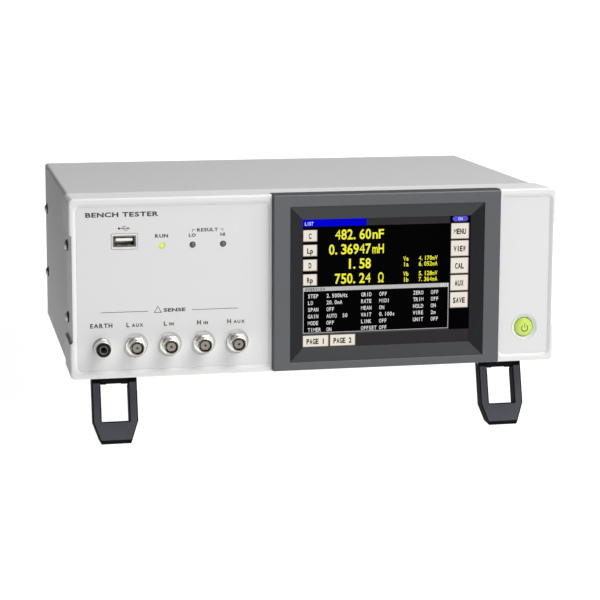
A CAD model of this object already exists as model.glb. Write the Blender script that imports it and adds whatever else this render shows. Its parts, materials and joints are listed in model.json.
import json
import math

import bmesh
import bpy
from mathutils import Matrix, Vector


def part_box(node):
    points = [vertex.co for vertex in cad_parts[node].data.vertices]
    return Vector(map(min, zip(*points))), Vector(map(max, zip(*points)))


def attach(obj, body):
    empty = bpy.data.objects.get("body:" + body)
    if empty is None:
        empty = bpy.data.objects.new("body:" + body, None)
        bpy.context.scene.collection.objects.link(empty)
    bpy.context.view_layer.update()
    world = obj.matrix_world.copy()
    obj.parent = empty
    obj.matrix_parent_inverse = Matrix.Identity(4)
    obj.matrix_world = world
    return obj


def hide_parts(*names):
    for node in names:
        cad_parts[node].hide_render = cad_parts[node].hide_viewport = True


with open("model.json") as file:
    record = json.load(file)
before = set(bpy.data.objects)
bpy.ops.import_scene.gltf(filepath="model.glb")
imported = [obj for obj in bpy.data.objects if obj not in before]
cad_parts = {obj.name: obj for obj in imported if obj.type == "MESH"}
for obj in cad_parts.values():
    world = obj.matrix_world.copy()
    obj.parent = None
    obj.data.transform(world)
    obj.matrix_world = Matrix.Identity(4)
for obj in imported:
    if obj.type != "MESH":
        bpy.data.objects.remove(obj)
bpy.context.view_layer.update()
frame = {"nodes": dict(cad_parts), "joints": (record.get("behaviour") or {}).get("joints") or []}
joints = {joint["name"]: joint for joint in frame["joints"]}

# The case leans back on its open stands. Pieces are drawn level, in millimetres: X across, Y from the front
# rim to the back, Z up from the underside of the front moulding. CASE takes them to the row frame.
FAN_CENTRE = Vector((52, 218, 62))
ACROSS = Vector((1, 0, 0))
BACK = Vector(joints["fan_spin"]["axis"]).normalized()
LEVEL = Matrix((ACROSS, BACK, ACROSS.cross(BACK))).transposed()
ORIGIN = Vector(joints["fan_spin"]["pos_m"]) - LEVEL @ (FAN_CENTRE * 0.001)
PLACE = Matrix.Translation(ORIGIN) @ LEVEL.to_4x4()
CASE = PLACE @ Matrix.Scale(0.001, 4)

GAP = 0.3  # between parts that meet
HALF_WIDTH = 165
HEIGHT = 119
MOULDING_DEPTH = 38
LEFT_RECESS = (-160, -33.6)
RIGHT_RECESS = (126.4, 160.6)
RECESS = (5.4, 113.2)  # from the bottom to the top of both recesses
RECESS_DEPTH = 1.9
SHEET_FACE = 1  # the printed sheets' front
BEZEL = (-31.5, 124.7, 0.8, 118.6)  # left, right, bottom and top
BEZEL_FRONT = -3.4
WINDOW_DEPTH = 3
SCREEN_CENTRE = (46.6, 58.5)
SCREEN_SIZE = (115.2, 86.4)
SCREEN_Y = 0.2
TERMINAL_Z = 21.5
BNC_XS = [-122.3 + 22.3 * i for i in range(4)]
GUARD_X = -144.2
TERMINAL_NAMES = ("EARTH", "L ~AUX", "L ~IN", "H ~IN", "H ~AUX")
USB = (-128.8, 90.4)
LED_Z = 87
LED_XS = (-104.4, -84.25, -64.1)
BUTTON = (144, 23.5)
STAND_X = 134.5
STAND_SHIFT = {"left": 0.5, "right": 0.25}
STAND_PIVOT = (29, -6.2)
STAND_LEAN = math.radians(15)
PIN_BORE = 1.8
REAR_FACE = 227.7
THROUGH_BACK = (220, 230)
FAN_BORE = 28.5
MAINS_INLET = (118, 28)
MAINS_SWITCH = (118, 60)
HANDLER_PORT = (-112, 28)
USB_B_PORT = (-44, 28)
OPTION_SLOT = (-98, 81)
QUARTER = math.pi / 2
SIDES = ((-1, "left"), (1, "right"))


# ---------------------------------------------------------------- shapes


def arc(cx, cz, radius, start, sweep, steps):
    """Points along a round stretch, with angles in degrees."""
    points = []
    for k in range(steps + 1):
        a = math.radians(start + sweep * k / steps)
        points.append((cx + radius * math.cos(a), cz + radius * math.sin(a)))
    return points


def rounded(x0, x1, z0, z1, radius, steps=6):
    """An outline that can be drawn inset: a rectangle with round corners."""

    def outline(inset):
        left, right, low, high = x0 + inset, x1 - inset, z0 + inset, z1 - inset
        r = max(radius - inset, 0.03)
        points = []
        for cx, cz, start in ((right, low, -90), (right, high, 0), (left, high, 90), (left, low, 180)):
            points += arc(cx + (r if cx == left else -r), cz + (r if cz == low else -r), r, start, 90, steps)
        return points

    return outline


def circle(x, z, radius, steps=64):
    return lambda inset: arc(x, z, radius - inset, 0, 360, steps)[:-1]


def fixed(points):
    return lambda inset: points


def centred(centre, size, radius, steps=5):
    (x, z), (w, h) = centre, size
    return rounded(x - w / 2, x + w / 2, z - h / 2, z + h / 2, radius, steps)


def skinned(rings):
    """A closed solid through rings of points, each with as many points as the next."""
    bm = bmesh.new()
    rings = [[bm.verts.new(point) for point in ring] for ring in rings]
    for a, b in zip(rings, rings[1:]):
        for i in range(len(a)):
            j = (i + 1) % len(a)
            bm.faces.new((a[i], a[j], b[j], b[i]))
    bm.faces.new(rings[0])
    bm.faces.new(list(reversed(rings[-1])))
    bmesh.ops.recalc_face_normals(bm, faces=bm.faces)
    return bm


def swept(outline, profile):
    """A closed solid: the outline in X and Z, carried along Y through (y, inset) stations."""
    return skinned([[(x, y, z) for x, z in outline(inset)] for y, inset in profile])


def block(x0, x1, y0, y1, z0, z1):
    return swept(fixed([(x0, z0), (x1, z0), (x1, z1), (x0, z1)]), [(y0, 0), (y1, 0)])


def slab(centre, size, y0, y1):
    """A square-cornered block around a centre in X and Z."""
    (x, z), (w, h) = centre, size
    return block(x - w / 2, x + w / 2, y0, y1, z - h / 2, z + h / 2)


def shifted(centre, points):
    return fixed([(centre[0] + x, centre[1] + z) for x, z in points])


def fillet(y, radius, steps):
    """Stations of a round edge that starts on the side wall and ends on the face at y."""
    return [(y + radius - b, radius - a) for a, b in arc(0, 0, radius, 0, 90, steps)]


def flare(y, radius, steps):
    """Stations of a cutter whose hole has a round lip of that radius at the face y, entered from below it."""
    return [(y - 1, -radius), *[(level, -inset) for level, inset in reversed(fillet(y, radius, steps))]]


def lathe(x, z, profile, steps=64, closed=False):
    """A turned solid about an axis along Y, from (radius, y) points."""
    bm = bmesh.new()
    rings = []
    for radius, y in profile:
        if radius < 1e-6:
            rings.append([bm.verts.new((x, y, z))])
            continue
        rings.append([bm.verts.new((px, y, pz)) for px, pz in circle(x, z, radius, steps)(0)])
    for a, b in zip(rings, rings[1:] + rings[:1] if closed else rings[1:]):
        for k in range(steps):
            j = (k + 1) % steps
            corners = [a[k % len(a)], a[j % len(a)], b[j % len(b)], b[k % len(b)]]
            bm.faces.new(list(dict.fromkeys(corners)))
    bmesh.ops.recalc_face_normals(bm, faces=bm.faces)
    return bm


def at(x, y, z):
    return Matrix.Translation((x, y, z))


def turned(angle, axis):
    return Matrix.Rotation(angle, 4, axis)


def moved(bm, matrix):
    bm.transform(matrix)
    return bm


def bar(radius, half, steps):
    """A round bar along X, centred on the origin."""
    rod = lathe(0, 0, [(0, -half), (radius, -half), (radius, half), (0, half)], steps)
    return moved(rod, turned(QUARTER, "Z"))


def held(bm, name):
    """The solid as an object in the scene."""
    mesh = bpy.data.meshes.new(name)
    bm.to_mesh(mesh)
    bm.free()
    obj = bpy.data.objects.new(name, mesh)
    bpy.context.scene.collection.objects.link(obj)
    return obj


def evaluated(obj):
    return bpy.data.meshes.new_from_object(obj.evaluated_get(bpy.context.evaluated_depsgraph_get()))


def boolean(base, steps):
    """Cuts and joins, in turn: steps are (operation, solid) with cut, join or keep."""
    names = {"cut": "DIFFERENCE", "join": "UNION", "keep": "INTERSECT"}
    target = held(base, "target")
    tools = []
    for operation, solid in steps:
        tool = held(solid, "tool")
        tools.append(tool)
        modifier = target.modifiers.new(operation, "BOOLEAN")
        modifier.operation, modifier.object, modifier.solver = names[operation], tool, "EXACT"
    bpy.context.view_layer.update()
    shaped = evaluated(target)
    bm = bmesh.new()
    bm.from_mesh(shaped)
    for obj in [target, *tools]:
        data = obj.data
        bpy.data.objects.remove(obj)
        bpy.data.meshes.remove(data)
    bpy.data.meshes.remove(shaped)
    bmesh.ops.remove_doubles(bm, verts=bm.verts, dist=1e-4)
    return bm


def cut(base, *solids):
    return boolean(base, [("cut", solid) for solid in solids])


def joined(*solids):
    """Solids that stay apart, or touch, in one mesh."""
    whole = solids[0]
    for solid in solids[1:]:
        mesh = bpy.data.meshes.new("part")
        solid.to_mesh(mesh)
        solid.free()
        whole.from_mesh(mesh)
        bpy.data.meshes.remove(mesh)
    return whole


def soften(bm, width, segments, angle):
    """Rounds the edges that are sharper than the angle."""
    sharp = math.radians(angle)
    edges = [e for e in bm.edges if len(e.link_faces) == 2 and e.calc_face_angle(0) > sharp]
    shape = {"offset": width, "offset_type": "OFFSET", "segments": segments, "profile": 0.5}
    bmesh.ops.bevel(bm, geom=edges, affect="EDGES", clamp_overlap=True, **shape)
    bmesh.ops.remove_doubles(bm, verts=bm.verts, dist=1e-4)


def piece(name, bm, material, body="body", nodes=(), smooth=32):
    """Puts a finished solid in the scene, on its body and in its material's slot or the one given."""
    for face in bm.faces:
        face.smooth = True
    for edge in bm.edges:
        edge.smooth = len(edge.link_faces) == 2 and edge.calc_face_angle(0) < math.radians(smooth)
    obj = held(bm, name)
    obj.data.transform(CASE)
    obj.data.materials.append(material)
    weighted = obj.modifiers.new("normals", "WEIGHTED_NORMAL")
    weighted.keep_sharp = True
    weighted.weight = 80
    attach(obj, body)
    if nodes:
        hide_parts(*nodes)


# ---------------------------------------------------------------- materials


def feed(owner, made, **values):
    """Sets a node's inputs by name, with _ for a space; a value that is a socket is linked instead."""
    for key, value in values.items():
        socket = made.inputs[key.replace("_", " ")]
        if isinstance(value, bpy.types.NodeSocket):
            owner.node_tree.links.new(value, socket)
        else:
            socket.default_value = value


def node(owner, kind, **values):
    made = owner.node_tree.nodes.new("ShaderNode" + kind)
    if kind == "Mix":
        made.data_type = "RGBA"
    feed(owner, made, **values)
    return made


def noise(mat, place, scale, detail):
    return node(mat, "TexNoise", Vector=place, Scale=scale, Detail=detail).outputs["Fac"]


def surface(
    name, colour, rough, slot=None, metal=0.0, grain=(900, 0.05), blotch=(14, 0.05), spread=0.06, wear=0.0,
    stretch=(1, 1, 1), **sockets,
):
    """A procedural finish: colour clouding, roughness variation, fine grain as bump, and paler worn edges."""
    mat = bpy.data.materials.new(name)
    mat.use_nodes = True
    place = node(mat, "TexCoord").outputs["Object"]
    deeper, paler = [(*[min(c * k, 1) for c in colour], 1) for k in (1 - blotch[1], 1 + blotch[1])]
    shown = node(mat, "Mix", Factor=noise(mat, place, blotch[0], 6), A=deeper, B=paler).outputs["Result"]
    if wear:
        edge = node(mat, "NewGeometry").outputs["Pointiness"]
        worn = node(mat, "MapRange", Value=edge, From_Min=0.53, From_Max=0.62, To_Max=wear).outputs["Result"]
        rubbed = (*[min(c * 1.5 + 0.03, 1) for c in colour], 1)
        shown = node(mat, "Mix", Factor=worn, A=shown, B=rubbed).outputs["Result"]
    smear = noise(mat, place, blotch[0] * 4, 4)
    gloss = node(mat, "MapRange", Value=smear, To_Min=max(rough - spread, 0.02), To_Max=rough + spread)
    along = node(mat, "Mapping", Vector=place, Scale=stretch).outputs["Vector"]
    bump = node(mat, "Bump", Height=noise(mat, along, grain[0], 3), Strength=grain[1], Distance=0.0003)
    shader = mat.node_tree.nodes["Principled BSDF"]
    feed(mat, shader, Base_Color=shown, Metallic=metal, Roughness=gloss.outputs["Result"])
    feed(mat, shader, Normal=bump.outputs["Normal"], **sockets)
    return mat


def lit(name, colour, strength, rough=0.3, slot="screen_face"):
    """A surface that shines evenly."""
    return surface(
        name, [c * 0.15 for c in colour], rough, slot, grain=(1200, 0.01), blotch=(60, 0.03),
        Emission_Color=(*colour, 1), Emission_Strength=strength, Specular_IOR_Level=0.01,
    )


def glowing(name, rim, core, centre, reach):
    """A lit cap: brighter in the middle, where the lamp behind it is."""
    mat = surface(name, rim, 0.3, grain=(1200, 0.01), blotch=(60, 0.03), Emission_Strength=0.3)
    scale = 1000 / reach
    middle = [-c * scale for c in CASE @ centre]
    place = node(mat, "TexCoord").outputs["Object"]
    ball = node(mat, "Mapping", Vector=place, Scale=[scale] * 3, Location=middle).outputs["Vector"]
    fall = node(mat, "TexGradient", Vector=ball)
    fall.gradient_type = "SPHERICAL"
    glow = node(mat, "Mix", Factor=fall.outputs["Fac"], A=(*rim, 1), B=(*core, 1)).outputs["Result"]
    feed(mat, mat.node_tree.nodes["Principled BSDF"], Emission_Color=glow)
    return mat


def plastic(name, colour, rough, grain, blotch, specular=0.5, **more):
    """A moulded surface: its grain is fine, and only its strength varies."""
    more["Specular_IOR_Level"] = specular
    return surface(name, colour, rough, grain=(1500, grain), blotch=blotch, **more)


LIGHT_PLASTIC = plastic("light_plastic", (0.68, 0.68, 0.675), 0.42, 0.10, (9, 0.012), wear=0.25)
FLANK_PLASTIC = plastic("flank_plastic", (0.40, 0.40, 0.40), 0.5, 0.06, (9, 0.012), slot="light_plastic")
PRINTED_SHEET = surface("printed_sheet", (0.65, 0.65, 0.65), 0.5, grain=(2200, 0.06), blotch=(7, 0.012))
DARK = "dark_plastic"
DARK_PLASTIC = plastic(DARK, (0.070, 0.073, 0.080), 0.31, 0.05, (12, 0.04), wear=0.15)
LIP_PLASTIC = plastic("lip_plastic", (0.021, 0.0215, 0.024), 0.45, 0.06, (12, 0.05), 0.14, slot=DARK)
SLOPE_PLASTIC = plastic("window_plastic", (0.013, 0.0135, 0.0155), 0.5, 0.05, (12, 0.05), 0.14, slot=DARK)
RAIL_PLASTIC = plastic("rail_plastic", (0.036, 0.037, 0.04), 0.45, 0.05, (12, 0.05), 0.25, slot=DARK)
STAND_PLASTIC = surface(
    "stand_plastic", (0.056, 0.057, 0.069), 0.5, grain=(1300, 0.16), blotch=(16, 0.08), wear=0.25,
    Specular_IOR_Level=0.15,
)
STAND_BLACK = surface(
    "stand_black", (0.0035, 0.0035, 0.004), 0.6, "stand_plastic", grain=(1300, 0.12), blotch=(20, 0.1),
    wear=0.1, Specular_IOR_Level=0.03,
)
BLACK_PLASTIC = plastic("black_plastic", (0.022, 0.022, 0.024), 0.45, 0.12, (20, 0.1), 0.3, wear=0.2)
PAINTED_STEEL = surface(
    "painted_steel", (0.51, 0.51, 0.515), 0.7, grain=(1100, 0.22), blotch=(6, 0.02), wear=0.15,
    Specular_IOR_Level=0.12,
)
ZINC_STEEL = surface(
    "zinc_steel", (0.55, 0.56, 0.57), 0.38, metal=1.0, grain=(160, 0.1), blotch=(20, 0.06), stretch=(1, 1, 30)
)
NICKEL = surface(
    "nickel", (0.72, 0.71, 0.68), 0.27, metal=0.88, grain=(900, 0.04), blotch=(60, 0.05), spread=0.08
)
SHADED_NICKEL = surface("shaded_nickel", (0.24, 0.22, 0.185), 0.4, "nickel", metal=0.6, blotch=(60, 0.12))
JACK_BLACK = plastic("jack_black", (0.005, 0.005, 0.005), 0.3, 0.04, (40, 0.1), 0.16, slot="black_plastic")
SCREW_STEEL = surface("screw_steel", (0.70, 0.69, 0.66), 0.4, metal=0.3, grain=(1200, 0.08), blotch=(80, 0.1))
DIELECTRIC = plastic("dielectric", (0.25, 0.23, 0.19), 0.45, 0.05, (60, 0.06))
SCREEN_GLASS = surface(
    "screen_glass", (0.004, 0.004, 0.005), 0.12, grain=(300, 0.004), blotch=(9, 0.1), spread=0.03
)
GREY_LENS = plastic("grey_lens", (0.10, 0.10, 0.10), 0.25, 0.02, (90, 0.1))
WHITE_PLASTIC = plastic("white_plastic", (0.85, 0.85, 0.83), 0.4, 0.05, (60, 0.03))
FOOT_RUBBER = surface("foot_rubber", (0.02, 0.02, 0.021), 0.8, grain=(1200, 0.3), blotch=(40, 0.12))
INK = surface("ink", (0.035, 0.035, 0.04), 0.55, "print_ink", grain=(2500, 0.05), blotch=(200, 0.15))
PALE_INK = surface("pale_ink", (0.75, 0.75, 0.74), 0.55, "print_ink", grain=(2500, 0.05), blotch=(200, 0.08))
OLIVE_INK = surface("olive_ink", (0.24, 0.32, 0.03), 0.5, "print_ink", grain=(2500, 0.05), blotch=(200, 0.1))
BOARD = surface("circuit_board", (0.03, 0.16, 0.07), 0.4, grain=(700, 0.1), blotch=(90, 0.25))
LAMP_SPOT = Vector((BUTTON[0] + 0.3, 1, BUTTON[1] - 0.9))
LIT_BUTTON = glowing("lit_button", (0.34, 0.47, 0.035), (0.97, 1.0, 0.52), LAMP_SPOT, 8)
LIT_LENS = lit("lit_lens", (0.62, 0.86, 0.14), 0.95, 0.35, "lit_lens")
PIXEL_BLACK = lit("pixel_black", (0.0002, 0.0002, 0.0003), 1.0, 0.2)
PIXEL_GREY = lit("pixel_grey", (0.0343, 0.0319, 0.0343), 0.75, 0.25)
PIXEL_SILVER = lit("pixel_silver", (0.515, 0.515, 0.515), 0.8)
PIXEL_WHITE = lit("pixel_white", (0.8, 0.8, 0.8), 0.75)
PIXEL_CREAM = lit("pixel_cream", (0.80, 0.745, 0.66), 0.88)
PIXEL_EDGE = lit("pixel_edge", (0.35, 0.31, 0.24), 0.6)
PIXEL_YELLOW = lit("pixel_yellow", (0.83, 0.83, 0.03), 0.9)
PIXEL_BLUE = lit("pixel_blue", (0.0, 0.0, 0.6), 0.9)
PIXEL_VIOLET = lit("pixel_violet", (0.08, 0.08, 0.62), 0.9)
PIXEL_DARK = lit("pixel_dark", (0.02, 0.02, 0.02), 0.2)


# ---------------------------------------------------------------- lettering

glyphs = {}


def glyph(char, bold):
    """A character of the built-in font as a thin solid; bold widens its strokes."""
    if (char, bold) not in glyphs:
        curve = bpy.data.curves.new("glyph", "FONT")
        curve.body = char
        curve.resolution_u = 3
        curve.extrude = 0.02
        curve.offset = 0.0 if char in "M4" else bold
        obj = bpy.data.objects.new("glyph", curve)
        bpy.context.scene.collection.objects.link(obj)
        bpy.context.view_layer.update()
        mesh = evaluated(obj)
        bm = bmesh.new()
        bm.from_mesh(mesh)
        bmesh.ops.remove_doubles(bm, verts=bm.verts, dist=1e-5)
        bmesh.ops.recalc_face_normals(bm, faces=bm.faces)
        points = [v.co.copy() for v in bm.verts]
        faces = [[v.index for v in f.verts] for f in bm.faces]
        bm.free()
        bpy.data.objects.remove(obj)
        bpy.data.curves.remove(curve)
        bpy.data.meshes.remove(mesh)
        glyphs[char, bold] = (points, faces)
    return glyphs[char, bold]


def extent(char, bold):
    xs = [p.x for p in glyph(char, bold)[0]]
    return min(xs), max(xs)


def sized(cap):
    """The scale that gives capitals that height."""
    return cap / max(p.y for p in glyph("H", 0.02)[0])


def add_glyph(bm, char, bold, x, z, wide, tall, y, thick):
    """A character with its origin at x and z, scaled wide and tall, standing thick proud of the plane y."""
    points, faces = glyph(char, bold)
    deep = max(p.z for p in points)
    made = []
    for p in points:
        made.append(bm.verts.new((x + p.x * wide, y - thick / 2 * (1 + p.z / deep), z + p.y * tall)))
    for face in faces:
        bm.faces.new([made[i] for i in face])


def caption(bm, text, x, z, cap, y, stretch):
    """Letters set at their own widths, centred on x; those after ~ are small."""
    bold, scale, cursor, placed = 0.035, sized(cap), 0.0, []
    for char in text:
        if char == "~":
            scale *= 0.72
        elif char == " ":
            cursor += 0.42 * cap * stretch
        else:
            low, high = extent(char, bold)
            placed.append((char, cursor - low * scale * stretch, scale))
            cursor += (high - low) * scale * stretch + 0.17 * cap
    for char, start, size in placed:
        add_glyph(bm, char, bold, x - cursor / 2 + start, z, size * stretch, size, y, 0.05)
    return bm


def stroke(bm, points, width, y, thick):
    """A flat line of that width through (x, z) points, standing thick proud of the plane y."""
    for (x0, z0), (x1, z1) in zip(points, points[1:]):
        along = Vector((x1 - x0, z1 - z0)).normalized() * width / 2
        across = Vector((-along.y, along.x))
        a, b = Vector((x0, z0)) - along, Vector((x1, z1)) + along
        outline = [a - across, b - across, b + across, a + across]
        front = [bm.verts.new((p.x, y - thick, p.y)) for p in outline]
        rear = [bm.verts.new((p.x, y, p.y)) for p in outline]
        bm.faces.new(front)
        bm.faces.new(list(reversed(rear)))
        for i in range(4):
            j = (i + 1) % 4
            bm.faces.new((front[j], front[i], rear[i], rear[j]))


# ---------------------------------------------------------------- front


def moulding():
    outer = swept(
        rounded(-HALF_WIDTH, HALF_WIDTH, 0, HEIGHT, 3.6, 8),
        [(MOULDING_DEPTH, 0.35), (MOULDING_DEPTH - 0.35, 0), *fillet(0, 1.7, 6)],
    )
    steps = [("cut", swept(rounded(-161.3, 161.3, 2.5, 115.2, 1.5), [(4.2, 0), (MOULDING_DEPTH + 1, 0)]))]
    recess = [(-1, -2.3), (-0.02, -2.2), (0.06, -1.9), (0.94, -0.12), (1.1, 0), (RECESS_DEPTH, 0)]
    for x0, x1 in (LEFT_RECESS, RIGHT_RECESS):
        steps.append(("cut", swept(rounded(x0, x1, *RECESS, 2.6, 8), recess)))
    boss = [(0, 1.02), (8.8, 1.02), (8.93, 1.12), (8.93, 3.5), (10.5, 3.5), (10.5, 8), (0, 8)]
    steps.append(("join", lathe(*BUTTON, boss)))
    steps.append(("join", swept(centred(USB, (16.8, 10.2), 0.8), [(3.5, 0), *fillet(SHEET_FACE, 0.25, 3)])))

    left, right, _, high = BEZEL
    holes = [
        block(left - GAP, right + GAP, -1, 2.1, -1, HEIGHT + 1),
        block(left - GAP, right + GAP, -1, 11.3, high - 1.9, HEIGHT + 1),
        slab(SCREEN_CENTRE, (134, 104), 0, 5.2),
        swept(centred(USB, (15, 7.4), 0.5), [*flare(SHEET_FACE, 0.15, 2), (6, 0)]),
    ]
    rounds = [(GUARD_X, TERMINAL_Z, 3.9), *[(x, TERMINAL_Z, 4.8) for x in BNC_XS]]
    rounds += [(x, LED_Z, 2) for x in LED_XS]
    holes += [swept(circle(x, z, radius, 32), [(-1, 0), (6, 0)]) for x, z, radius in rounds]
    dish = [(8.6, -1), (8.6, 1.0), (8.5, 1.14), (8.2, 1.5), (7.5, 2.0), (6.85, 2.2), (6.7, 2.4), (6.7, 9)]
    holes.append(lathe(*BUTTON, [(0, -1), *dish, (0, 9)], 96))
    low_end = [(172, 23.4), (165.2, 23.4), (163.4, 24.2), (163, 25)]
    high_end = [(163, 94.4), (163.3, 95), (165.2, 95.7), (172, 95.7)]
    for sign, _ in SIDES:  # a notch round the front screws
        notch = [(sign * x, z) for x, z in low_end + high_end]
        holes.append(swept(fixed(notch), [(-2, 0), (MOULDING_DEPTH + 2, 0)]))
    bm = boolean(outer, steps + [("cut", hole) for hole in holes])
    middle = HEIGHT / 2 + 0.5
    for v in bm.verts:  # the top face falls a little towards the back, as a moulding's draft does
        if v.co.z > middle:
            v.co.z -= 1.2 * max(v.co.y, 0) / MOULDING_DEPTH * (v.co.z - middle) / (HEIGHT - middle)

    def flank(sign, gap):
        x0, x1 = sorted((sign * (162.7 - gap), sign * 168))
        return block(x0, x1, 1.3 - gap, 40 + gap, 2.6 - gap, 116.2 + gap)

    for sign, side in SIDES:  # the flanks carry the cover's grey
        piece(f"{side}_flank", boolean(bm.copy(), [("keep", flank(sign, 0))]), FLANK_PLASTIC)
    rest = cut(bm, *[flank(sign, 0.03) for sign, _ in SIDES])
    piece("front_moulding", rest, LIGHT_PLASTIC, nodes=["front_panel"])


def sheet(recess):
    """A printed sheet that lies in one of the moulding's recesses."""
    edge = 0.06
    outline = rounded(recess[0] + edge, recess[1] - edge, RECESS[0] + edge, RECESS[1] - edge, 2.2, 8)
    return swept(outline, [(1.6, 0), *fillet(SHEET_FACE, 0.12, 2)])


def panel_sheets():
    holes = [swept(centred(USB, (17.4, 10.8), 1.0), [(0, 0), (3, 0)])]
    holes.append(swept(circle(GUARD_X, TERMINAL_Z, 5.7), [(0, 0), (3, 0)]))
    holes += [swept(circle(x, TERMINAL_Z, 8, 96), [*flare(SHEET_FACE, 0.3, 3), (3, 0)]) for x in BNC_XS]
    holes += [swept(circle(x, LED_Z, 2, 48), [*flare(SHEET_FACE, 0.2, 3), (3, 0)]) for x in LED_XS]
    piece("left_panel_sheet", cut(sheet(LEFT_RECESS), *holes), PRINTED_SHEET, nodes=["panel_sheet_left"])
    hole = swept(circle(*BUTTON, 9, 96), [*flare(SHEET_FACE, 0.35, 3), (3, 0)])
    piece("right_panel_sheet", cut(sheet(RIGHT_RECESS), hole), PRINTED_SHEET, nodes=["panel_sheet_right"])


def display():
    left, right, low, high = BEZEL
    x0, x1 = left + 0.5, right - 0.5
    cap = swept(rounded(x0, x1, high - 0.45, high, 0.2, 3), [(-2.2, 0), (10.8, 0), (11, 0.2)])
    root = block(x0, x1, 2, 10.8, high - 1.6, high - 0.3)
    piece("display_bezel_lip", boolean(cap, [("join", root)]), LIP_PLASTIC)

    w, h = SCREEN_SIZE

    def around(margin, radius, steps):
        return centred(SCREEN_CENTRE, (w + margin, h + margin), radius, steps)

    plate = rounded(left, right, low, high, 0.9, 4)
    front = swept(plate, [(1.8, 0.2), (1.6, 0), *fillet(BEZEL_FRONT, 1.1, 5)])
    ledge = block(left - 1, right + 1, -2.25, 3, high - 0.5, high + 1)
    hole = swept(around(18, 0.6, 3), [*flare(BEZEL_FRONT, 0.35, 3), (BEZEL_FRONT + 0.6, 0)])
    room = swept(around(17.4, 0.4, 3), [(BEZEL_FRONT, 0), (3, 0)])
    bezel = cut(front, ledge, hole, room)
    piece("display_bezel_moulding", bezel, DARK_PLASTIC, nodes=["display_bezel"], smooth=28)

    ring = swept(around(17.8, 0.5, 3), [(1.7, 0), (BEZEL_FRONT + 0.45, 0)])
    face, deep = BEZEL_FRONT, BEZEL_FRONT + WINDOW_DEPTH
    slope = [(face - 0.3, 0), (face + 0.5, 0.15), (deep - 0.1, 8.7), (deep + 0.1, 8.9), (3, 8.9)]
    seat = swept(centred(SCREEN_CENTRE, (127.6, 99.6), 0.5, 2), [(-0.1, 0), (3, 0)])
    window = cut(ring, swept(around(17.8, 0.3, 2), slope), seat)
    wedges = []
    for sign, _ in SIDES:  # mitred where the side slopes meet the upper and lower ones
        x_out, x_in = sign * (w / 2 + 14), sign * (w / 2 - 16)
        z_out, z_in = h / 2 + 14, h / 2 - 16
        corners = [(x_out, -z_out), (x_in, -z_in), (x_in, z_in), (x_out, z_out)]
        wedges.append(swept(shifted(SCREEN_CENTRE, corners), [(-9, 0), (9, 0)]))
    sides = joined(*wedges)
    piece("display_window_rails", cut(window.copy(), sides.copy()), RAIL_PLASTIC, smooth=28)
    piece("display_window_sides", boolean(window, [("keep", sides)]), SLOPE_PLASTIC, smooth=28)


def screen_x(u):
    return SCREEN_CENTRE[0] + (u - 0.5) * SCREEN_SIZE[0]


def screen_z(v):
    return SCREEN_CENTRE[1] + (0.5 - v) * SCREEN_SIZE[1]


def panes(name, boxes, depth, material, radius):
    """Flat lit fields on the display, each given by its share of the screen's width and height."""
    solids = []
    for u0, u1, v0, v1 in boxes:
        outline = rounded(screen_x(u0), screen_x(u1), screen_z(v1), screen_z(v0), radius, 3)
        solids.append(swept(outline, [(depth, 0), (depth - 0.08, 0)]))
    piece(name, joined(*solids), material)


def write(bm, text, u, v, cap, pitch, y, weight=1.0, align="left", bold=0.02):
    """Letters of equal pitch on the display, from a place given like the panes'."""
    scale = sized(cap)
    start = screen_x(u) + {"left": 0, "centre": -pitch * len(text) / 2, "right": -pitch * len(text)}[align]
    for index, char in enumerate(text):
        if char == " ":
            continue
        low, high = extent(char, bold)
        squeeze = min(scale * weight, 0.9 * pitch / (high - low))
        centre = start + pitch * (index + (0.22 if char == "." else 0.5))
        add_glyph(bm, char, bold, centre - (low + high) / 2 * squeeze, screen_z(v), squeeze, scale, y, 0.06)


def screen_fields(base):
    panes("screen_field", [(0, 0.877, 0.057, 0.888), (0.877, 1, 0, 0.897)], base, PIXEL_BLACK, 0.05)
    panes("screen_bars", [(0.3775, 0.877, 0, 0.057), (0, 1, 0.897, 1)], base, PIXEL_GREY, 0.05)
    panes("screen_title", [(0, 0.377, 0, 0.057)], base, PIXEL_BLUE, 0.05)
    panes("screen_pill", [(0.892, 0.985, 0.004, 0.045)], base - 0.12, PIXEL_VIOLET, 1.7)
    keys = [(0.002, 0.086, 0.081 + 0.114 * k, 0.173 + 0.114 * k) for k in range(4)]
    keys += [(0.883, 0.993, 0.058 + 0.136 * k, 0.184 + 0.136 * k) for k in range(5)]
    keys += [(0.002, 0.156, 0.903, 0.995), (0.163, 0.315, 0.903, 0.995)]
    panes("screen_key_edges", keys, base - 0.1, PIXEL_EDGE, 0.2)
    inner = [(u0 + 0.0025, u1 - 0.0045, v0 + 0.003, v1 - 0.006) for u0, u1, v0, v1 in keys]
    panes("screen_keys", inner, base - 0.2, PIXEL_CREAM, 0.2)
    left, right, top, bottom = 0.003, 0.874, 0.558, 0.8815
    panes("screen_info_bar", [(left, right, 0.527, top)], base - 0.1, PIXEL_SILVER, 0.05)
    uprights = [(left, left + 0.0035, top, bottom), (right - 0.0035, right, top, bottom)]
    panes("screen_info_frame", [*uprights, (left, right, 0.882, 0.886)], base - 0.1, PIXEL_SILVER, 0.03)
    panes("screen_page_box", [(0.825, 0.868, 0.530, 0.555)], base - 0.2, PIXEL_WHITE, 0.05)


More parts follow.
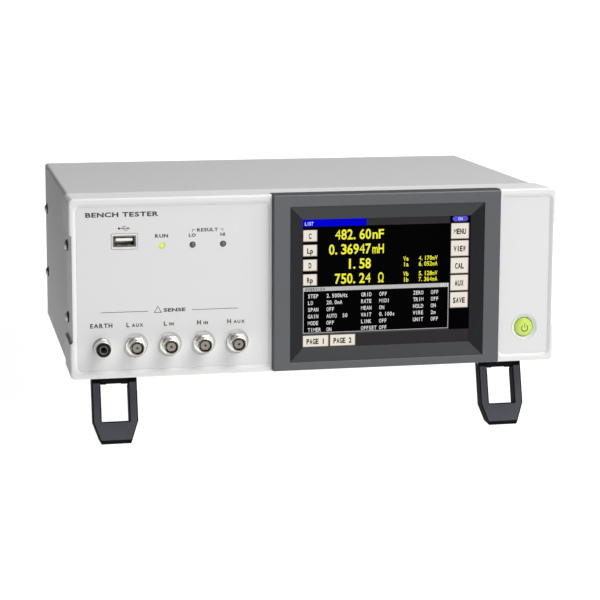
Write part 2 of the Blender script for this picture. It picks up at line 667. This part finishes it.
def screen_readings(plane):
    digits = bmesh.new()
    major = [("482.60", "nF"), ("0.36947", "mH"), ("1.58", "  "), ("750.24", " \u03a9")]
    for row, (number, unit) in enumerate(major):
        v = 0.161 + 0.1142 * row
        write(digits, number, 0.405, v, 6.6, 4.15, plane, align="right")
        write(digits, unit, 0.410, v, 6.2, 4.15, plane)
    minor = [("Va", "4.170mV", 0.341), ("Ia", "6.052mA", 0.386)]
    minor += [("Vb", "5.128mV", 0.461), ("Ib", "7.364mA", 0.507)]
    for label, number, v in minor:
        write(digits, label, 0.597, v, 2.9, 1.95, plane, 0.9)
        write(digits, number, 0.690, v, 2.9, 1.88, plane, 0.9)
    piece("screen_numbers", digits, PIXEL_YELLOW)


def screen_settings(base, plane):
    white = bmesh.new()
    columns = [
        (0.031, 0.141, "STEP 2.500kHz, LO 20.0mA, SPAN OFF, GAIN AUTO  50, MODE OFF, TIMER ON"),
        (0.347, 0.455, "GRID OFF, RATE MID1, MEAN ON, WAIT 0.100s, LINK OFF, OFFSET OFF"),
        (0.659, 0.766, "ZERO OFF, TRIM OFF, HOLD ON, WIRE 2m, UNIT OFF"),
    ]
    for label_u, value_u, entries in columns:
        for row, entry in enumerate(entries.split(", ")):
            label, value = entry.split(" ", 1)
            v = 0.611 + 0.0528 * row
            write(white, label, label_u, v, 2.55, 1.82, plane, 0.85)
            write(white, value, value_u, v, 2.55, 1.82, plane, 0.85)
    write(white, "LIST", 0.012, 0.046, 2.2, 1.45, plane, 0.9)
    write(white, "ON", 0.9385, 0.036, 1.9, 1.6, base - 0.2, 0.9, "centre")
    piece("screen_white_text", white, PIXEL_WHITE)


def screen_keys(base):
    dark = bmesh.new()
    face = base - 0.28
    for k, label in enumerate(["C", "Lp", "D", "Rp"]):
        write(dark, label, 0.043, 0.149 + 0.114 * k, 3.5, 2.1, face, 0.85, "centre", 0.035)
    for k, label in enumerate(["MENU", "VIEW", "CAL", "AUX", "SAVE"]):
        write(dark, label, 0.937, 0.144 + 0.136 * k, 3.6, 2.15, face, 0.8, "centre", 0.035)
    for label, u in (("PAGE 1", 0.078), ("PAGE 2", 0.238)):
        write(dark, label, u, 0.971, 3.5, 2.1, face, 0.85, "centre", 0.035)
    write(dark, "OVERVIEW", 0.015, 0.553, 1.7, 1.7, base - 0.18)
    write(dark, "1/2", 0.8465, 0.551, 1.6, 1.3, face, 0.9, "centre")
    piece("screen_dark_text", dark, PIXEL_DARK)


def screen():
    base = SCREEN_Y - 0.03
    screen_fields(base)
    screen_readings(base - 0.1)
    screen_settings(base, base - 0.1)
    screen_keys(base)


def legends():
    ink = bmesh.new()
    y = SHEET_FACE - 0.005

    def line(points, width):
        stroke(ink, points, width, y, 0.05)

    words = [("BENCH TESTER", -129.9, 106.6, 2.9, 1.55), ("SENSE", -96.2, 43.2, 2.2, 1.6)]
    words += [(text, x, 33.9, 2.8, 1.0) for x, text in zip([GUARD_X, *BNC_XS], TERMINAL_NAMES)]
    run, low, high = LED_XS
    words += [("RUN", run, 92.3, 2.2, 1.25), ("LO", low, 92.3, 2.1, 1.1), ("HI", high, 92.3, 2.1, 1.1)]
    words.append(("RESULT", (low + high) / 2, 95.6, 2.1, 1.2))
    for text, x, z, cap, stretch in words:
        caption(ink, text, x, z, cap, y, stretch)
    for x0, x1 in ((-144.3, -114), (-84.6, -54.3)):
        line([(x0, 43.9), (x1, 43.9)], 0.32)
    line([(-109.7, 42.9), (-105.1, 42.9), (-107.4, 46.9), (-109.7, 42.9)], 0.36)
    for sign, x in ((1, low), (-1, high)):
        line([(x, 95.5), (x, 96.9), (x + sign * 1.8, 96.9)], 0.28)

    # a small branching arrow over the port
    cx, cz = USB[0], USB[1] + 8.5
    line([(cx - 3.2, cz), (cx + 2.2, cz)], 0.35)
    line([(cx + 2.2, cz + 0.55), (cx + 3.4, cz), (cx + 2.2, cz - 0.55), (cx + 2.2, cz + 0.55)], 0.3)
    line([(cx - 1.6, cz), (cx - 0.6, cz + 1.3), (cx + 0.9, cz + 1.3)], 0.3)
    line([(cx - 0.8, cz), (cx + 0.3, cz - 1.3), (cx + 1.6, cz - 1.3)], 0.3)
    dot = swept(circle(cx - 3.4, cz, 0.75, 20), [(y, 0), (y - 0.05, 0)])
    piece("panel_legends", joined(ink, dot), INK)


def power_button():
    x, z = BUTTON
    dome = [(0, 0.3), (1.6, 0.33), (3.0, 0.44), (4.3, 0.66), (5.3, 0.98), (5.95, 1.4), (6.2, 2.0), (6.3, 2.8)]
    cap = lathe(x, z, [*dome, (6.4, 9.5), (0, 9.5)], 96)
    piece("button_cap", cap, LIT_BUTTON, "power_button", ["power_button"])
    mark = bmesh.new()
    cx, cz, r = x + 0.2, z - 0.6, 2.2
    arc = []
    for k in range(25):
        a = math.radians(38 + 284 * k / 24)
        arc.append((cx + r * math.sin(a), cz + r * math.cos(a)))
    stroke(mark, arc, 0.6, 0.42, 0.16)
    stroke(mark, [(cx, cz + 0.3), (cx, cz + 3.0)], 0.6, 0.42, 0.165)
    piece("button_mark", mark, OLIVE_INK, "power_button")


def lamps():
    for index, x in enumerate(LED_XS):
        profile = [(0, 0.3), (0.7, 0.36), (1.2, 0.6), (1.6, 1.05), (1.7, 1.5), (1.7, 7), (0, 7)]
        lens = LIT_LENS if index == 0 else GREY_LENS
        body = lathe(x, LED_Z, profile, 40)
        piece(f"status_lamp_{index + 1}", body, lens, nodes=[f"status_led_{index + 1}"])


def usb_port():
    x, z = USB
    outer = swept(centred(USB, (14.3, 6.8), 0.6), [(16, 0), (1.55, 0), (1.4, 0.12)])
    hollow = swept(centred(USB, (13.2, 5.7), 0.35), [(-1, -0.15), (1.4, -0.15), (1.7, 0), (17, 0)])
    shell = cut(outer, hollow)
    springs = []
    for dx in (-3.4, 3.4):  # the shell's contact springs bend into the mouth
        for sign in (-1, 1):
            springs.append(slab((x + dx, z + sign * 2.65), (2.2, 0.5), 3.2, 7.5))
    piece("usb_a_socket", joined(shell, *springs), SHADED_NICKEL, nodes=["usb_a_shell"])
    tongue = swept(rounded(x - 5.5, x + 5.5, z + 0.2, z + 2, 0.2), [(2, 0.1), (2.15, 0), (12.4, 0)])
    rear = swept(centred(USB, (12.4, 4.9), 0.2), [(12, 0), (16, 0)])
    piece("usb_a_insert", boolean(tongue, [("join", rear)]), WHITE_PLASTIC, nodes=["usb_a_tongue"])
    pads = []
    for dx in (-3.5, -1.2, 1.2, 3.5):
        pads.append(swept(centred((x + dx, z + 0.16), (1.2, 0.16), 0.05, 2), [(2.4, 0), (9, 0)]))
    piece("usb_a_contacts", joined(*pads), NICKEL)


def bnc_terminal(index, x):
    z = TERMINAL_Z
    front = [(4.15, -9.35), (4.6, -9.35), (4.85, -9.15), (4.85, -8.3), (4.65, -8.1), (4.65, -3.4)]
    flange = [(4.85, -3.2), (4.85, -0.75), (5.1, -0.6), (5.1, -0.2), (6.25, -0.2), (6.5, 0.05), (6.5, 1.6)]
    inside = [(4.5, 1.6), (4.5, 14), (3.1, 14), (3.1, 0), (3.6, 0), (4.15, -0.4)]
    steps = [("cut", block(x - 8, x + 8, -1.5, 1.7, z + 5.4, z + 8))]
    for sign, _ in SIDES:
        lug = lathe(0, 0, [(0, 0), (0.95, 0), (0.95, 1.15), (0.8, 1.3), (0, 1.3)], 24)
        turn = at(x, -5.0, z - sign * 4.2) @ turned(-sign * QUARTER, "X")
        steps.append(("join", moved(lug, turn)))
    shell = boolean(lathe(x, z, front + flange + inside, 72, closed=True), steps)
    piece(f"bnc_{index}_body", shell, NICKEL, nodes=[f"bnc_shell_{index}"])
    lip = [(3.95, -9.2), (4.05, -9.45), (4.2, -9.6), (4.45, -9.6), (4.6, -9.45), (4.6, -9.35)]
    throat = [(4.15, -9.3), (4.15, -0.6), (3.95, -0.6)]
    piece(f"bnc_{index}_mouth", lathe(x, z, lip + throat, 72, closed=True), SHADED_NICKEL)
    core = [(0, -3.5), (0.8, -3.5), (0.8, -8.5), (1.1, -8.7), (2.9, -8.7), (3.1, -8.5)]
    insulator = lathe(x, z, [*core, (3.1, -0.9), (2.8, -0.6), (2.8, 14.8), (0, 14.8)], 48)
    notch = slab((x, z - 3.1), (1.6, 1), -9.5, -7.6)
    piece(f"bnc_{index}_insulator", cut(insulator, notch), DIELECTRIC, nodes=[f"bnc_insulator_{index}"])
    contact = lathe(x, z, [(0.42, -7.2), (0.74, -7.2), (0.74, -3.6), (0.42, -3.6)], 24, closed=True)
    piece(f"bnc_{index}_contact", contact, SHADED_NICKEL)


def guard_jack():
    x, z = GUARD_X, TERMINAL_Z
    cup = [(0, 2), (4.1, 2), (4.1, -9.65), (4.25, -9.8), (4.85, -9.8), (5, -9.65), (5, -2), (4.75, -1.85)]
    base = [(4.75, -1.5), (5, -1.35), (5, -0.4), (5.25, -0.4), (5.4, -0.25), (5.4, 1.6)]
    barrel = lathe(x, z, [*cup, *base, (3.6, 1.6), (3.6, 14), (0, 14)], 72)
    piece("guard_jack_barrel", barrel, NICKEL, nodes=["guard_jack_body"])
    plug = [(0, -0.6), (2.05, -0.6), (2.05, -10.5), (2.2, -10.65), (2.6, -10.65), (2.75, -10.9), (3.9, -11)]
    rim = [(4.6, -10.75), (4.8, -10.3), (4.8, -9.85), (4.05, -9.85), (4.05, 1.4), (0, 1.4)]
    piece("guard_jack_collar", lathe(x, z, plug + rim, 72), JACK_BLACK, nodes=["guard_jack_insulator"])
    ring = [(2.25, -10.7), (2.4, -10.8), (2.6, -10.8), (2.7, -10.72), (2.7, -10.5), (2.25, -10.5)]
    piece("guard_jack_ring", lathe(x, z, ring, closed=True), SHADED_NICKEL)
    sleeve = lathe(x, z, [(1.75, -7.4), (2.0, -7.4), (2.0, -1), (1.75, -1)], 48, closed=True)
    piece("guard_jack_contact", sleeve, SHADED_NICKEL)


# ---------------------------------------------------------------- case


def folded(half, bottom, top, bend):
    """The way up one side, over two bends and down the other."""
    bends = arc(bend - half, top - bend, bend, 180, -90, 8) + arc(half - bend, top - bend, bend, 90, -90, 8)
    return [(-half, bottom), *bends, (half, bottom)]


def cover():
    half, bottom, top, bend, sheet_metal = 163, 0.6, 116.9, 2.4, 1.5
    outer = folded(half, bottom, top, bend)
    inner = folded(half - sheet_metal, bottom, top - sheet_metal, bend - sheet_metal)
    bm = swept(fixed([*outer, *reversed(inner)]), [(MOULDING_DEPTH + GAP, 0), (230, 0)])
    soften(bm, 0.35, 2, 60)
    piece("sheet_cover", bm, PAINTED_STEEL, nodes=["top_cover"])


def screw_head(radius=3.6, height=2.2, reach=8.0):
    """A pan-head screw along -Y: seat at y = 0, head towards -Y, with a cross recess."""
    profile = [(0, reach), (1.9, reach), (1.9, 0), (radius - 0.1, 0), (radius, -0.1)]
    for k in range(1, 8):
        a = QUARTER * k / 8
        profile.append((radius * math.cos(a) ** 0.55, -0.1 - (height - 0.1) * math.sin(a) ** 1.1))
    head = lathe(0, 0, [*profile, (0, -height)], 48)
    bars = []
    for turn in (0, QUARTER):
        stations = [(-height - 0.5, 0), (-height + 0.2, 0.0), (-height + 1.25, 0.22)]
        slit = swept(rounded(-1.95, 1.95, -0.42, 0.42, 0.12, 2), stations)
        bars.append(moved(slit, turned(turn, "Y")))
    return cut(head, *bars)


def side_screws():
    seat = 163.1
    collar = [(3.2, -0.9), (3.5, -0.9), (3.85, -0.15), (3.85, 0.08), (3.2, 0.08)]
    spots = [("front", 31, "lower", 36.2), ("front", 31, "upper", 84.4)]
    spots += [("rear", 212, "lower", 36.2), ("rear", 212, "upper", 84.4)]
    for sign, side in SIDES:
        for row, y, level, z in spots:
            spin = turned(0.35 + y * 0.7 + z * 0.3, "Y")
            place = at(sign * seat, y, z) @ turned(sign * QUARTER, "Z")
            name = f"{side}_{row}_{level}"
            piece(f"{name}_washer", moved(lathe(0, 0, collar, 48, closed=True), place), BLACK_PLASTIC)
            screw = moved(screw_head(radius=3.15, reach=5.6), place @ spin)
            piece(f"{name}_screw", screw, SCREW_STEEL, nodes=[f"side_screw_{name}"])


def rear_feet():
    hollow = [(0, -6), (2.6, -6), (3, -6.3), (3, -8.7), (3.3, -9)]
    outside = [(6.9, -9), (7.4, -8.6), (8, 2.3), (7.8, 2.5), (0, 2.5)]
    for sign, side in SIDES:
        turn = at(sign * STAND_X, 204, 0) @ turned(QUARTER, "X")
        foot = moved(lathe(0, 0, hollow + outside), turn)
        piece(f"rear_{side}_foot", foot, FOOT_RUBBER, nodes=[f"rear_foot_{side}"])


# ---------------------------------------------------------------- stands


def stand(sign, side):
    half, tip, shoulder, length = 15.1, 9.7, 29.1, 44.5
    front, rear, wall, gate, window = -4.25, 4.25, 2.4, 9.6, 9.2
    outline = [(-half, 0), (-half, -shoulder), (-tip, -length), (tip, -length), (half, -shoulder), (half, 0)]
    plate = swept(fixed(outline), [(front, 0), (rear, 0)])
    high, low = -shoulder - wall, -length + 2 * wall
    pocket = [(wall - half, high), (wall - tip, low), (tip - wall, low), (half - wall, high)]
    holes = [
        block(-gate, gate, front - 1, rear + 1, -4.6, 6),
        block(-window, window, front - 1, rear + 1, -shoulder + 0.2, -4),
        bar(PIN_BORE, 20, 32),
        swept(fixed(pocket), [(front + wall, 0), (rear + 1, 0)]),
        block(-20, 20, front - 1, front + 0.35, -60, 9),  # makes room for the paler face
    ]
    leg = boolean(plate, [("join", bar(4.2, half, 48)), *[("cut", hole) for hole in holes]])
    lean = at(sign * STAND_X + STAND_SHIFT[side], *STAND_PIVOT)
    lean = lean @ turned(-STAND_LEAN, "X")
    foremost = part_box(f"tilt_stand_{side}")[0].y
    level = CASE.inverted() @ at(sign * STAND_X * 0.001, foremost, 0) @ Matrix.Scale(0.001, 4)
    bench = moved(block(-40, 40, -36, 44, -40, 0), level)
    ahead = moved(block(-40, 40, -40, 0, -40, 40), level)
    leg = cut(moved(leg, lean), bench, ahead)
    soften(leg, 0.7, 3, 20)
    body = f"tilt_stand_{side}"
    piece(f"{side}_stand_leg", leg, STAND_BLACK, body, [body])

    rim, foot = 0.75, 3.1
    slant = (half - tip) / (length - shoulder)
    toe = half - slant * (length - shoulder - foot) - rim
    right_edge = [(toe, -length + foot), (half - rim, -shoulder), (half - rim, -3.2)]
    left_edge = [(-x, z) for x, z in reversed(right_edge)]
    window_cut = rounded(-window - rim, window + rim, -shoulder + 0.2 - rim, 6, 0.6, 3)
    skin = swept(fixed(left_edge + right_edge), [(front, 0), (front + 0.7, 0)])
    skin = cut(skin, swept(window_cut, [(front - 1, 0), (rear, 0)]))
    soften(skin, 0.2, 2, 40)
    piece(f"{side}_stand_face", moved(skin, lean), STAND_PLASTIC, body)


def stand_hinge(sign, side):
    x = sign * STAND_X + STAND_SHIFT[side]
    y, z = STAND_PIVOT
    place = at(x, y, z)
    plate = block(x - 19, x + 19, 19, 38, -1.4, -0.3)
    boss = block(x - 9.3, x + 9.3, y - 4.2, y + 4.2, z, -1)
    step = block(x - 5, x + 5, y - 9, y + 9, z - 9, z - 3.3)
    knuckle, bore = moved(bar(4.2, 9.3, 48), place), moved(bar(PIN_BORE, 30, 32), place)
    bm = boolean(plate, [("join", boss), ("join", knuckle), ("cut", bore), ("cut", step)])
    piece(f"{side}_stand_hinge_block", bm, STAND_BLACK, nodes=[f"stand_base_{side}"])


# ---------------------------------------------------------------- back


def rear_panel():
    through = [(y, 0) for y in THROUGH_BACK]
    plate = swept(rounded(-161, 161, 4.4, 115, 0.5, 2), [(225.8, 0), (227.2, 0), (227.4, 0.2)])
    holes = [slab(MAINS_INLET, (27.6, 20.6), *THROUGH_BACK), slab(MAINS_SWITCH, (13.6, 19.6), *THROUGH_BACK)]
    holes.append(swept(centred(HANDLER_PORT, (54.6, 11.2), 1.5), through))
    holes.append(swept(centred(USB_B_PORT, (12.6, 11.6), 0.8), through))
    holes.append(slab(OPTION_SLOT, (84, 28), *THROUGH_BACK))
    for row in range(-4, 5):  # the fan's slots, as long as its bore allows
        rise = row * 6
        reach = math.sqrt(FAN_BORE**2 - rise**2) - 1
        slit = centred((FAN_CENTRE.x, FAN_CENTRE.z + rise), (2 * reach, 3.6), 1.75, 6)
        holes.append(swept(slit, through))
    piece("back_panel", cut(plate, *holes), PAINTED_STEEL, nodes=["rear_panel"])


def mains_inlet():
    x, z = MAINS_INLET
    stations = [(REAR_FACE, 0), (REAR_FACE + 1.5, 0), (REAR_FACE + 1.8, 0.3)]
    flange = swept(centred(MAINS_INLET, (31, 24), 1.2), stations)
    body = slab(MAINS_INLET, (27, 20), 209.5, REAR_FACE + 1)
    mouth = [(-12, -8.2), (12, -8.2), (12, 3.6), (7.6, 8.2), (-7.6, 8.2), (-12, 3.6)]
    hollow = swept(shifted(MAINS_INLET, mouth), [(215.5, 0), (232, 0)])
    housing = boolean(flange, [("join", body), ("cut", hollow)])
    piece("mains_inlet_housing", housing, BLACK_PLASTIC, nodes=["ac_inlet"])
    pins = []
    for dx, dz in ((0, 4), (-7, -3.6), (7, -3.6)):
        pins.append(swept(centred((x + dx, z + dz), (2, 4), 0.4, 3), [(215, 0), (226, 0), (226.5, 0.5)]))
    piece("mains_inlet_pins", joined(*pins), NICKEL)


def mains_switch():
    x, z = MAINS_SWITCH
    surround = swept(centred(MAINS_SWITCH, (15, 21), 1.0), [(REAR_FACE, 0), (229, 0), (229.3, 0.3)])
    box, well = slab(MAINS_SWITCH, (13, 19), 213.3, 228.5), slab(MAINS_SWITCH, (11.6, 17.2), 219.3, 231)
    housing = boolean(surround, [("join", box), ("cut", well)])
    piece("mains_switch_frame", housing, BLACK_PLASTIC, nodes=["mains_switch_housing"])

    end = 7.6

    def hollow_face(u):
        return 4.2 - 1.05 * (1 - (u / end) ** 2)

    profile = [(-end, 4.2), (-end + 1.2, -0.8), (-2, -5), (2, -5), (end - 1.2, -0.8)]
    profile += [(end * (1 - k / 8), hollow_face(end * (1 - k / 8))) for k in range(16)]
    rocker = swept(fixed(profile), [(-4.8, 0), (4.8, 0)])
    soften(rocker, 0.35, 2, 40)
    mark = bmesh.new()
    ring = [(u * 1.1, v * 1.5 + 4.4) for u, v in arc(0, 0, 1, 0, 360, 15)]
    stroke(mark, ring, 0.4, 0.05, 0.15)
    stroke(mark, [(0, -5.9 + 0.7 * k) for k in range(5)], 0.5, 0.05, 0.15)
    for v in mark.verts:
        v.co.y -= hollow_face(v.co.z)
    # the rocker's outline lies in its own X and Z: turn it so that X runs up and Z points out of the back
    stand_up = Matrix(((0, 1, 0, 0), (0, 0, 1, 0), (1, 0, 0, 0), (0, 0, 0, 1)))
    place = at(x, 226.3, z) @ turned(math.radians(9), "X")
    rocker = moved(rocker, place @ stand_up)
    piece("mains_switch_rocker", rocker, BLACK_PLASTIC, "mains_rocker", ["mains_rocker"])
    piece("mains_rocker_marks", moved(mark, place @ turned(math.pi, "Z")), PALE_INK, "mains_rocker")


def option_slot():
    x, z = OPTION_SLOT
    stations = [(REAR_FACE, 0), (REAR_FACE + 1, 0), (REAR_FACE + 1.2, 0.2)]
    plate = swept(centred(OPTION_SLOT, (96, 38), 0.8, 3), stations)
    piece("option_blank_plate", plate, PAINTED_STEEL, nodes=["option_slot_plate"])
    for index, dx in enumerate((-44.4, 44.4)):
        knob = lathe(x + dx, z, [(0, 231.2), (2.6, 231.2), (2.9, 230.9), (2.9, 229.0), (0, 229.0)], 36)
        slit = slab((x + dx, z), (4.8, 0.8), 230.7, 232)
        piece(f"option_plate_screw_{index + 1}", cut(knob, slit), SCREW_STEEL)


def d_outline(top, bottom, rise):
    """The handler connector's outline, from its half widths and half height."""
    return shifted(HANDLER_PORT, [(-top, rise), (top, rise), (bottom, -rise), (-bottom, -rise)])


def handler_socket():
    x, z = HANDLER_PORT
    flange = swept(centred(HANDLER_PORT, (66, 12.6), 1.5), [(REAR_FACE, 0), (REAR_FACE + 1, 0)])
    shell = swept(d_outline(27, 26, 5.194), [(215.7, 0), (229.5, 0)])
    well = swept(d_outline(25.9, 24.9, 4.2), [(223.7, 0), (232, 0)])
    socket = boolean(flange, [("join", shell), ("cut", well)])
    piece("handler_socket_shell", socket, NICKEL, nodes=["handler_io_port"])
    insert = swept(d_outline(25.12, 24.15, 3.906), [(223.8, 0), (227.6, 0)])
    holes = []
    for dz, count in ((1.6, 19), (-1.6, 18)):
        for k in range(count):
            dx = (k - (count - 1) / 2) * 2.5
            holes.append(swept(circle(x + dx, z + dz, 0.6, 12), [(225, 0), (228.5, 0)]))
    piece("handler_socket_insert", cut(insert, *holes), BLACK_PLASTIC)
    for index, dx in enumerate((-30.2, 30.2)):
        nut = swept(circle(x + dx, z, 2.5, 6), [(REAR_FACE + 1, 0), (REAR_FACE + 3.2, 0)])
        bore = swept(circle(x + dx, z, 1.2, 24), [(REAR_FACE + 1.5, 0), (REAR_FACE + 4, 0)])
        piece(f"handler_jack_screw_{index + 1}", cut(nut, bore), SCREW_STEEL)


def usb_b_socket():
    shell = swept(centred(USB_B_PORT, (12, 11), 0.8), [(212, 0), (227.8, 0), (228, 0.2)])
    mouth = [(-5, -4.5), (5, -4.5), (5, 2.6), (3.2, 4.5), (-3.2, 4.5), (-5, 2.6)]
    well = swept(shifted(USB_B_PORT, mouth), [(219, 0), (230, 0)])
    piece("usb_b_socket", cut(shell, well), NICKEL, nodes=["usb_b_port"])
    tongue = swept(centred(USB_B_PORT, (5.6, 3.2), 0.3), [(218.5, 0), (226.8, 0), (227, 0.2)])
    piece("usb_b_tongue", tongue, WHITE_PLASTIC)


def back_screws():
    flat = Matrix.Diagonal((2.6 / 3.6, 1.6 / 2.2, 2.6 / 3.6, 1))
    spots = [(f"back_panel_screw_{k + 1}", (k % 3 - 1) * 155, 9 if k > 2 else 110) for k in range(6)]
    for k in range(4):
        dx, dz = 50 * (k % 2) - 25, 50 * (k // 2) - 25
        spots.append((f"fan_screw_{k + 1}", FAN_CENTRE.x + dx, FAN_CENTRE.z + dz))
    for name, x, z in spots:
        turn = turned(math.pi, "Z") @ turned(0.3 + x * 0.37, "Y")
        place = at(x, 227.5, z) @ turn
        piece(name, moved(screw_head(reach=1.0), place @ flat), SCREW_STEEL)


def back_legends():
    labels = [("OPTION", OPTION_SLOT[0], 103.2, 3), ("HANDLER", HANDLER_PORT[0], 36.6, 2.8)]
    labels += [("USB", USB_B_PORT[0], 36.6, 2.8), ("POWER", MAINS_SWITCH[0], 73.6, 2.8)]
    words = []
    for text, x, z, cap in labels:
        turn = at(x, 227.4, z) @ turned(math.pi, "Z")
        words.append(moved(caption(bmesh.new(), text, 0, 0, cap, 0, 1.15), turn))
    piece("back_legends", joined(*words), INK)


def fan():
    x, z = FAN_CENTRE.x, FAN_CENTRE.z
    centre = (x, z)
    frame_plate = swept(centred(centre, (60, 60), 3), [(210.5, 0), (225.5, 0)])
    bore = lathe(x, z, [(0, 209), (FAN_BORE, 209), (FAN_BORE, 227), (0, 227)], 96)
    ribs = [slab(centre, (58, 4), 210.5, 212.5), slab(centre, (4, 58), 210.5, 212.5)]
    ribs.append(lathe(x, z, [(0, 210.5), (12, 210.5), (12, 212.5), (0, 212.5)], 48))
    housing = boolean(frame_plate, [("cut", bore), *[("join", rib) for rib in ribs]])
    piece("fan_housing", housing, BLACK_PLASTIC, nodes=["fan_frame"])

    hub = lathe(x, z, [(0, 213.5), (12, 213.5), (12, 223.6), (11.6, 224), (0, 224)])
    rings = []
    for i in range(9):  # sections of a blade from the hub outwards
        out = i / 8
        radius = 11.5 + 15.4 * out
        section = []
        for j in range(7):
            t = j / 6 - 0.5
            swing = 0.68 * (1 - 0.25 * out) * t + 0.18 * out
            y = 218.6 + t * 7.6 - 0.9 * math.cos(math.pi * t)
            section.append(Vector((radius * math.cos(swing), y, radius * math.sin(swing))))
        half = Vector((0, 0.5, 0))
        rings.append([point - half for point in section] + [point + half for point in reversed(section)])
    blades = [("join", moved(skinned(rings), at(x, 0, z) @ turned(math.tau * k / 7, "Y"))) for k in range(7)]
    piece("fan_impeller", boolean(hub, blades), BLACK_PLASTIC, "fan_rotor", ["fan_rotor"])


def inner_nodes():
    """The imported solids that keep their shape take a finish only."""
    steel = ["lcd_module", "lcd_bracket", "bottom_chassis", "analog_shield", "power_supply"]
    finishes = {name: ZINC_STEEL for name in [*steel, "stand_pin_left", "stand_pin_right"]}
    finishes.update({f"bnc_nut_{index}": NICKEL for index in range(1, 5)})
    finishes.update(main_board=BOARD, control_board=BOARD)
    finishes.update(touch_panel=SCREEN_GLASS, power_switch=BLACK_PLASTIC)
    for name, finish in finishes.items():
        mesh = frame["nodes"][name].data
        mesh.materials.clear()
        mesh.materials.append(finish)


# ---------------------------------------------------------------- studio


def camera():
    yaw, pitch, roll = 0.2085, 0.1524, 0.0035
    position = Vector((-259.95, -1167.9, 271.55)) * 0.001
    data = bpy.data.cameras.new("camera")
    data.sensor_width = 36
    data.lens = 109.848
    data.shift_y = -0.1
    data.clip_end = 50
    cam = bpy.data.objects.new("camera", data)
    bpy.context.scene.collection.objects.link(cam)
    aim = turned(-yaw, "Z") @ turned(QUARTER - pitch, "X") @ turned(roll, "Z")
    cam.matrix_world = PLACE @ at(*position) @ aim
    bpy.context.scene.camera = cam


def area(name, location, target, size, power):
    data = bpy.data.lights.new(name, "AREA")
    data.shape = "RECTANGLE"
    data.size, data.size_y = size
    data.energy = power
    obj = bpy.data.objects.new(name, data)
    bpy.context.scene.collection.objects.link(obj)
    obj.location = location
    obj.rotation_euler = (Vector(target) - Vector(location)).to_track_quat("-Z", "Y").to_euler()


def floor_finish():
    """A lit floor: it is brighter on the side of the lamps and falls off past the left side."""
    mat = surface("floor_finish", (0.2, 0.2, 0.2), 0.8, grain=(300, 0.01), blotch=(1, 0.01))
    place = node(mat, "SeparateXYZ", Vector=node(mat, "TexCoord").outputs["Object"]).outputs["X"]
    pool = node(mat, "MapRange", Value=place, From_Min=-0.62, From_Max=-0.08, To_Min=0.25, To_Max=1.02)
    pool.interpolation_type = "SMOOTHSTEP"
    shader = mat.node_tree.nodes["Principled BSDF"]
    feed(mat, shader, Emission_Color=(1, 1, 1, 1), Emission_Strength=pool.outputs["Result"])
    return mat


def surroundings():
    """The room is brighter on the side of the lamps."""
    world = bpy.data.worlds.new("studio")
    world.use_nodes = True
    across = node(world, "SeparateXYZ", Vector=node(world, "TexCoord").outputs["Generated"]).outputs["X"]
    side = node(world, "MapRange", Value=across, From_Min=-0.25, From_Max=0.35, To_Min=0.015, To_Max=0.42)
    background = world.node_tree.nodes["Background"]
    feed(world, background, Color=(1, 1, 1, 1), Strength=side.outputs["Result"])
    return world


def studio():
    bm = bmesh.new()
    bmesh.ops.create_grid(bm, x_segments=1, y_segments=1, size=30)
    floor = held(bm, "floor")
    floor.location.z = -0.0002
    floor.data.materials.append(floor_finish())
    bpy.context.scene.world = surroundings()
    bpy.context.scene.view_settings.view_transform = "Standard"
    area("overhead", (0.95, -0.55, 2.1), (0.1, 0, 0), (1.9, 1.8), 61)
    area("front_fill", (1.2, -2.3, 1.05), (0.1, 0, 0.08), (1.2, 0.9), 8.8)
    area("low_fill", (-0.1, -2.4, 0.35), (0, 0, 0.06), (1.8, 0.7), 5.5)


moulding()
panel_sheets()
display()
screen()
legends()
power_button()
lamps()
usb_port()
for number, terminal_x in enumerate(BNC_XS, 1):
    bnc_terminal(number, terminal_x)
guard_jack()
cover()
side_screws()
rear_feet()
for direction, label in SIDES:
    stand(direction, label)
    stand_hinge(direction, label)
rear_panel()
mains_inlet()
mains_switch()
option_slot()
handler_socket()
usb_b_socket()
back_screws()
back_legends()
fan()
inner_nodes()
camera()
studio()
